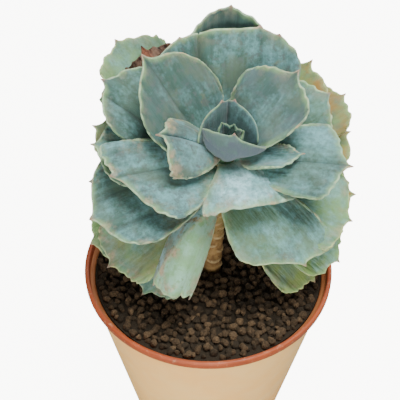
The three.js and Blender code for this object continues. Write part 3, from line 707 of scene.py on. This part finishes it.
def wander(draw, places, slowest, fastest, waves=6):
    """A smooth seeded wandering of about -1 to 1 along a line, or over a grid of places."""
    total = 0
    for _ in range(waves):
        pace = [draw.uniform(slowest, fastest) * draw.choice((-1, 1)) for _ in places]
        shift = draw.uniform(0, 2 * math.pi)
        total = total + np.sin(sum(2 * math.pi * p * place for p, place in zip(pace, places)) + shift)
    return total / waves * 1.6


def midrib(leaf):
    """The leaf's centre, across and inward directions at steps along its midrib."""
    turn = math.radians(leaf["turn"])
    out = math.cos(turn) * RIGHT + math.sin(turn) * BACK
    start = stem_radius(leaf["at"]) + GAP
    start += BLADE_MIDDLE / 2 * math.sin(math.radians(abs(leaf["rise"][0])))
    centre = stem_point(leaf["at"]) + out * start
    flat = np.cross(AXIS, out)
    rows = []
    for k in range(BLADE_STEPS + 1):
        t = BLADE_REACH * k / BLADE_STEPS
        curl = min(max((t - CURL_FROM) / (1 - CURL_FROM), 0), 1.3) ** 2 * leaf["curl"]
        rise = math.radians(leaf["rise"][0] + (leaf["rise"][1] - leaf["rise"][0]) * t + curl)
        along = math.cos(rise) * out + math.sin(rise) * AXIS
        up = np.cross(along, flat)
        roll = math.radians(leaf["roll"]) * min(t * 2, 1)
        across = flat * math.cos(roll) + up * math.sin(roll)
        inward = up * math.cos(roll) - flat * math.sin(roll)
        rows.append((centre, across, inward))
        centre = centre + along * leaf["long"] * BLADE_REACH / BLADE_STEPS
    return out, [np.array(part) for part in zip(*rows)]


def blade_surface(leaf, u, s, draw):
    """The blade's middle surface, u from root to tip and s from -1 to 1 across, and its flat map."""
    out, (centres, acrosses, inwards) = midrib(leaf)
    angle = s * math.pi / 2
    wide = np.where(s > 0, leaf["wide"] * leaf["left"], leaf["wide"])
    spread = np.sin(math.pi / 2 * u ** leaf["swell"])
    x = wide * (leaf["root"] * s * (1 - spread) + np.sin(angle) * spread)
    x = x * (1 + 0.012 * leaf["ripple"] * wander(draw, (u,), 1, 6))
    y = u * (leaf["long"] - leaf["cap"] + leaf["cap"] * np.cos(angle) + leaf["skew"] * np.sin(angle))
    for place, length in leaf["tips"]:
        y = y + length * np.exp(-np.abs(s - place) / TIP_WIDTH) * u ** 6
        spine = min(length, 1.5) * SPINE_LENGTH
        y = y + spine * np.exp(-np.abs(s - place) / SPINE_WIDTH) * u ** 30
    y = y + leaf["ripple"] * 0.45 * wander(draw, (s,), 1, 7) * u ** 6
    t = np.clip(y / leaf["long"], 0, BLADE_REACH)
    freed = np.minimum(t * 2, 1)
    place = np.minimum(t / BLADE_REACH * BLADE_STEPS, BLADE_STEPS - 0.001)
    low = np.floor(place).astype(int)
    share = (place - low)[..., None]

    # The section across the blade: its keel and its cup
    q = np.abs(x) / leaf["wide"]
    cup = np.radians(leaf["cup"][0] + (leaf["cup"][1] - leaf["cup"][0]) * t)
    across = np.zeros_like(q)
    rise = np.zeros_like(q)
    for k in range(SECTION_STEPS):
        part = q * (k + 0.5) / SECTION_STEPS
        slope = math.radians(leaf["keel"]) * np.clip(part * 6, 0, 1) + cup * part
        across += np.cos(slope) * q * leaf["wide"] / SECTION_STEPS
        rise += np.sin(slope) * q * leaf["wide"] / SECTION_STEPS

    # Waves and grooves
    phase = np.where(x > 0, 0, 2.1)
    rise += (leaf["wave"] * np.minimum(q, 1.3) ** 2 * freed
             * np.sin(2 * math.pi * leaf["waves"] * t + phase))
    for middle, depth, width in leaf["crease"]:
        away = np.abs(x / leaf["wide"] - middle - leaf["slant"] * u)
        rise -= depth * np.exp(-away / width) * np.minimum(t * 1.6, 1)

    # Ripples towards the margin, wide dents, lengthwise pleats, and crimps at the very margin
    near_edge = np.maximum(np.abs(s) ** 4, u ** 8)
    at_edge = np.maximum(np.abs(s) ** 9, u ** 20)
    for kind, height, where, places, slowest, fastest in (
            ("ripple", 0.9, near_edge, (u, s), 0.6, 2.6), ("dent", 0.8, 1, (u, s), 0.3, 1.1),
            ("dent", 0.22, 1, (s,), 3, 9), ("ripple", 0.7, at_edge, (u, s), 3, 7)):
        rise += leaf[kind] * height * where * freed * wander(draw, places, slowest, fastest)

    # Bent along the midrib, with the root clasped round the stem
    centre, aside, inward = (part[low] * (1 - share) + part[low + 1] * share
                             for part in (centres, acrosses, inwards))
    points = centre + aside * (across * np.sign(x))[..., None] + inward * rise[..., None]
    stem = stem_radius(leaf["at"]) + GAP
    clasp = stem - np.sqrt(stem ** 2 - np.minimum(np.abs(x), ROOT_CLASP * stem) ** 2)
    return points - (clasp * (1 - u) ** 3)[..., None] * out, x, y


def leaf_masks(leaf, u, s, x, edge):
    """Where the leaf's tips and margin lie, where painted shade darkens its folds and the shaded side
    of its ridge, and how aged or worn it is.
    """
    tips = sum(np.exp(-np.abs(s - place) / TIP_WIDTH) for place, _ in leaf["tips"])
    # Where the creases lie, for painted shade along them
    folds = np.zeros_like(x)
    for line, depth, _ in leaf["crease"]:
        folds += np.exp(-(x / leaf["wide"] - line) ** 2 / FOLD_SPREAD) * min(max(depth, 0) / 1.5, 1)
    # The side of the slanted ridge turned from the light, for painted shade; the crest takes the
    # margin's pale colour
    shaded_flank = np.zeros_like(x)
    if leaf["slant"]:
        ridge = x / leaf["wide"] - leaf["crease"][0][0] - leaf["slant"] * u
        shaded_flank = np.clip(ridge * FLANK_SHARPNESS + 0.5, 0, 1)
        edge = np.minimum(edge, np.abs(ridge) * leaf["wide"] + RIDGE_PALLOR)
    # A thin rim is a faint one too
    faint = max(1 - leaf["rim"], 0) * 0.9
    masks = {"edge": edge / leaf["rim"] + faint, "along": u, "mucro": tips * u ** 30,
             "fold": folds * np.clip(u * 2, 0, 1), "shaded_flank": shaded_flank}
    for age in ("bloom", "green", "warm", "grape", "worn", "rust"):
        masks[age] = np.full_like(u, leaf[age])
    return masks


def over_and_under(over, under):
    """Rows for a grid's upper side, then for its lower side without the border they share."""
    width = over.shape[2:]
    return np.concatenate([over.reshape(-1, *width), under[1:-1, 1:-1].reshape(-1, *width)])


def leaf_faces(rows, columns):
    """Quads over a grid's upper side and its lower side, joined at their border."""
    top = np.arange(rows * columns).reshape(rows, columns)
    under = top.copy()
    inner = np.arange((rows - 2) * (columns - 2)).reshape(rows - 2, columns - 2)
    under[1:-1, 1:-1] = rows * columns + inner

    def quads(grid):
        corners = [grid[:-1, :-1], grid[1:, :-1], grid[1:, 1:], grid[:-1, 1:]]
        return np.stack(corners, -1).reshape(-1, 4)

    return np.vstack([quads(top), quads(under)[:, ::-1]])


def leaf_piece(leaf, number):
    """A fleshy closed leaf with rounded margins, its flat map and the masks for its colours."""
    draw = random.Random(number)
    u_steps = np.concatenate([np.linspace(0, 0.975, LEAF_ROWS), END_ROWS])
    s_steps = np.linspace(-1, 1, LEAF_COLUMNS + 1)
    for place, _ in leaf["tips"]:
        s_steps[np.abs(s_steps - place).argmin()] = place
    u, s = np.meshgrid(u_steps, s_steps, indexing="ij")
    middle, x, y = blade_surface(leaf, u, s, draw)

    def from_line(line):
        return np.linalg.norm(middle - line, axis=-1)

    sides = np.minimum(from_line(middle[:, :1]), from_line(middle[:, -1:]))
    tip = from_line(middle[-1:])
    edge = np.minimum(sides, tip)
    half = (BLADE_EDGE + (BLADE_MIDDLE - BLADE_EDGE) * (1 - np.abs(s) ** 3) * (1 - u ** 4)) / 2
    for distance in (sides, tip, from_line(middle[:1])):
        half = half * np.sqrt(1 - (1 - np.minimum(distance / RIM_ROUND, 1)) ** 2)
    half[0] = half[-1] = 0
    half[:, 0] = half[:, -1] = 0
    facing = unit(np.cross(np.gradient(middle, axis=0), np.gradient(middle, axis=1)))
    swelling = facing * half[..., None]
    points = over_and_under(middle + swelling, middle - swelling)
    faces = leaf_faces(*u.shape)
    piece = mesh_object(leaf["name"] + "_blade", points, faces.tolist())

    masks = {key: over_and_under(values, values)
             for key, values in leaf_masks(leaf, u, s, x, edge).items()}
    masks["under"] = over_and_under(np.zeros_like(u), np.ones_like(u))
    for key, values in masks.items():
        attribute = piece.data.attributes.new(key, "FLOAT", "POINT")
        attribute.data.foreach_set("value", values.astype(np.float32))
    flat_map = np.stack([x / 1000 + number * PATTERN_SHIFT, y / 1000], -1)
    flat_map = over_and_under(flat_map, flat_map)
    layer = piece.data.uv_layers.new(name="blade")
    layer.data.foreach_set("uv", flat_map[faces.ravel()].astype(np.float32).ravel())
    return piece


def stretched(tree, along):
    """The leaf's flat map, scaled along the blade so that patterns run out in streaks."""
    flat = add_node(tree, "ShaderNodeUVMap", uv_map="blade")
    return add_node(tree, "ShaderNodeMapping", {
        "Vector": flat.outputs["UV"], "Scale": (1, along, 1)}).outputs["Vector"]


def mask_of(tree, name):
    """One of the leaf's own masks."""
    return add_node(tree, "ShaderNodeAttribute", attribute_name=name).outputs["Fac"]


def waxy_leaf():
    """Succulent flesh: dark green-blue under a streaked powdery bloom, with a cream margin."""
    material, tree, shader = new_material("waxy_leaf", {
        "Specular IOR Level": 0.25, "Sheen Weight": 0.25, "Sheen Roughness": 0.6,
        "Subsurface Weight": 0.12, "Subsurface Scale": 0.002, "Subsurface Radius": (0.4, 1.0, 0.6)})
    place = object_place(tree)
    edge = mask_of(tree, "edge")
    streaks = mottle(tree, stretched(tree, 0.12), 400, 0.27, 0.73, 5)
    clouds = mottle(tree, stretched(tree, 0.6), 75, 0.34, 0.66, 7)
    speckle = mottle(tree, place, 700, 0.3, 0.7, 5)

    # Powdery bloom over dark flesh, white where it lies thickest
    flesh = mix(tree, streaks, colour(26, 60, 54), colour(48, 92, 86))
    powder = mix(tree, streaks, colour(92, 146, 148), colour(118, 174, 182))
    amount = plus(tree, times(tree, plus(tree, clouds, -0.5), 0.8), mask_of(tree, "bloom"))
    amount = plus(tree, amount, times(tree, plus(tree, speckle, -0.5), 0.4))
    skin = mix(tree, amount, flesh, powder)
    skin = mix(tree, step(tree, amount, 0.9, 1.7), skin, colour(168, 214, 224))

    # Rubbed patches, olive stains and small scuffs where the bloom is worn, and dark flecks
    for patches, depth, shade in (
            (mottle(tree, place, 90, 0.5, 0.62, 7), 0.7, colour(72, 88, 72)),
            (mottle(tree, place, 70, 0.6, 0.7, 7), 0.8, colour(104, 104, 66)),
            (mottle(tree, place, 420, 0.52, 0.63, 8), 0.85, colour(66, 80, 80))):
        rubbed = times(tree, patches, mask_of(tree, "worn"))
        skin = mix(tree, times(tree, rubbed, depth), skin, shade)
    flecks = mottle(tree, place, 900, 0.6, 0.7)
    skin = mix(tree, times(tree, flecks, 0.5), skin, colour(52, 78, 72))

    # Painted shade along the folds, a green root darkened with painted shade, a plainer underside,
    # and the colours of age
    broken_fold_shade = step(tree, mottle(tree, place, 60, 0.3, 0.7), 0, 1, 0.7, 1.0)
    skin = mix(tree, times(tree, mask_of(tree, "fold"), broken_fold_shade), skin, colour(22, 46, 42))
    # Painted shade at the root, where the leaves crowd round the stem, on its greener base
    root = step(tree, mask_of(tree, "along"), 0.5, 0.0)
    skin = mix(tree, times(tree, root, 0.7), skin, colour(58, 106, 74))
    skin = mix(tree, times(tree, mask_of(tree, "under"), 0.4), skin, colour(112, 156, 130))
    misty = step(tree, mottle(tree, place, 120, 0.4, 0.62, 6), 0, 1, 0.35, 1.0)
    grape = times(tree, misty, mask_of(tree, "grape"))
    skin = mix(tree, times(tree, grape, 0.8), skin, colour(82, 98, 110))
    aged = step(tree, mottle(tree, place, 90, 0.3, 0.7), 0, 1, 0.25, 0.75)
    skin = mix(tree, times(tree, aged, mask_of(tree, "green")), skin, colour(112, 148, 78))
    turned = times(tree, mottle(tree, place, 80, 0.3, 0.62), mask_of(tree, "warm"))
    skin = mix(tree, turned, skin, colour(142, 112, 46))

    # Painted shade: the side of the ridge turned from the light, greener and darker
    shaded_flank = times(tree, mask_of(tree, "shaded_flank"), step(tree, clouds, 0, 1, 0.9, 0.6))
    skin = mix(tree, shaded_flank, skin, colour(108, 152, 104))

    # Towards the margin: green, then scabs, then the pale rim and its reddish tips
    near = times(tree, step(tree, edge, 3.0, 0.2), mottle(tree, place, 150, 0.35, 0.6))
    skin = mix(tree, times(tree, near, 0.7), skin, colour(124, 162, 104))
    blotches = times(tree, mottle(tree, place, 170, 0.48, 0.62, 6), step(tree, edge, 7.0, 0.0))
    scab = mix(tree, mottle(tree, place, 620, 0.35, 0.6, 5),
               colour(116, 118, 82), colour(164, 144, 118))
    skin = mix(tree, times(tree, blotches, mask_of(tree, "rust")), skin, scab)
    margin = mix(tree, mottle(tree, place, 260, 0.5, 0.65),
                 colour(164, 194, 160), colour(182, 160, 126))
    margin = mix(tree, times(tree, mask_of(tree, "green"), 0.6), margin, colour(186, 196, 112))
    uneven = step(tree, mottle(tree, place, 330, 0.3, 0.7), 0, 1, 0.3, 0.9)
    skin = mix(tree, times(tree, step(tree, edge, 1.0, 0.3), uneven), skin, margin)
    reddish = step(tree, mask_of(tree, "mucro"), 0.35, 0.9, 0, 0.8)
    skin = mix(tree, reddish, skin, colour(150, 104, 92))
    tree.links.new(skin, shader.inputs["Base Color"])
    tree.links.new(step(tree, clouds, 0, 1, 0.5, 0.7), shader.inputs["Roughness"])

    # Fine grain over pleats that run along the blade
    grain = add_bump(tree, shader, mottle(tree, place, 2600, 0.3, 0.7, 2), 0.2, 0.0002)
    pleats = add_node(tree, "ShaderNodeBump", {
        "Height": mottle(tree, stretched(tree, 0.14), 300, 0.2, 0.8),
        "Strength": 0.4, "Distance": 0.001})
    tree.links.new(pleats.outputs["Normal"], grain.inputs["Normal"])
    return material


def withered_leaf():
    """A dead leaf: crinkled brown tissue with pinkish folds and dark creases."""
    material, tree, shader = new_material(
        "withered_leaf", {"Roughness": 0.75, "Specular IOR Level": 0.3})
    place = object_place(tree)
    veins = mottle(tree, stretched(tree, 0.3), 300, 0.35, 0.65, 6)
    tissue = mix(tree, veins, colour(78, 58, 46), colour(122, 96, 80))
    tissue = mix(tree, mottle(tree, place, 110, 0.5, 0.65), tissue, colour(134, 84, 62))
    tissue = mix(tree, mottle(tree, place, 260, 0.52, 0.66, 6), tissue, colour(46, 30, 26))
    tree.links.new(tissue, shader.inputs["Base Color"])
    add_bump(tree, shader, veins, 1.0, 0.0025)
    return material


wax = waxy_leaf()
withered = withered_leaf()
for number, row in enumerate(LEAVES + rear_leaves()):
    blade = leaf_piece({**LEAF, **row}, number)
    dead = row["name"] == "dried_leaf"
    blade.data.materials.append(withered if dead else wax)
    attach(blade, "root")
    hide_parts(row["name"])

# Floor, light and camera
# The pot stands on a plain pale floor in soft studio light from above.
# The camera looks down on it from the front, as the photograph does.
HALF_FLOOR = 3000.0
SEEN_WHITE = 9.0
SKY_LIGHT = 0.32


def pale_paper():
    """Matt white paper, lit from behind so that the camera sees it nearly white."""
    material, tree, shader = new_material(
        "pale_paper", {"Roughness": 0.9, "Emission Color": colour(255, 254, 250)})
    tone = mottle(tree, object_place(tree), 3, 0.3, 0.7)
    tree.links.new(mix(tree, tone, colour(150, 149, 146), colour(142, 141, 138)),
                   shader.inputs["Base Color"])
    seen = add_node(tree, "ShaderNodeLightPath").outputs["Is Camera Ray"]
    tree.links.new(times(tree, seen, SEEN_WHITE), shader.inputs["Emission Strength"])
    return material


floor = mesh_object("studio_floor", [
    (-HALF_FLOOR, -HALF_FLOOR, 0), (HALF_FLOOR, -HALF_FLOOR, 0),
    (HALF_FLOOR, HALF_FLOOR, 0), (-HALF_FLOOR, HALF_FLOOR, 0)], [(0, 1, 2, 3)])
floor.data.materials.append(pale_paper())


def soft_light(name, place, aim, size, power, tint):
    """A square soft box that shines from one point to another, in millimetres."""
    lamp = bpy.data.lights.new(name, "AREA")
    lamp.size = size / 1000
    lamp.energy = power
    lamp.color = tint
    holder = bpy.data.objects.new(name, lamp)
    bpy.context.scene.collection.objects.link(holder)
    away = unit(np.array(place, float) - np.array(aim, float))
    side = unit(np.cross([0, 1, 0], away))
    up = np.cross(away, side)
    rows = [[side[k], up[k], away[k], place[k] / 1000] for k in range(3)]
    holder.matrix_world = Matrix(rows + [[0, 0, 0, 1]])


soft_light("key_box", (150, -50, 890), (0, 0, 120), 400, 11.6, (1.0, 0.99, 0.96))
soft_light("rear_box", (260, 760, 420), (0, 0, 130), 600, 3.4, (1.0, 0.98, 0.95))
soft_light("front_box", (-300, -760, 420), (0, 0, 110), 600, 1.2, (1.0, 0.98, 0.95))
soft_light("paper_glow", (-60, -460, 70), (0, 0, 60), 320, 3.0, (1.0, 0.96, 0.89))

studio = bpy.data.worlds.new("pale_studio")
studio.use_nodes = True
sky = studio.node_tree.nodes["Background"]
sky.inputs["Color"].default_value = colour(255, 254, 252)
seen = add_node(studio.node_tree, "ShaderNodeLightPath").outputs["Is Camera Ray"]
glow = step(studio.node_tree, seen, 0, 1, SKY_LIGHT, SEEN_WHITE)
studio.node_tree.links.new(glow, sky.inputs["Strength"])
bpy.context.scene.world = studio

lens = bpy.data.cameras.new("front_camera")
lens.sensor_width = 36
lens.lens = 60
lens.clip_start = 0.01
camera = bpy.data.objects.new("front_camera", lens)
bpy.context.scene.collection.objects.link(camera)
camera.location = (0, -0.190, 0.304)
camera.rotation_euler = (math.radians(46.6), 0, math.radians(1.05))
bpy.context.scene.camera = camera
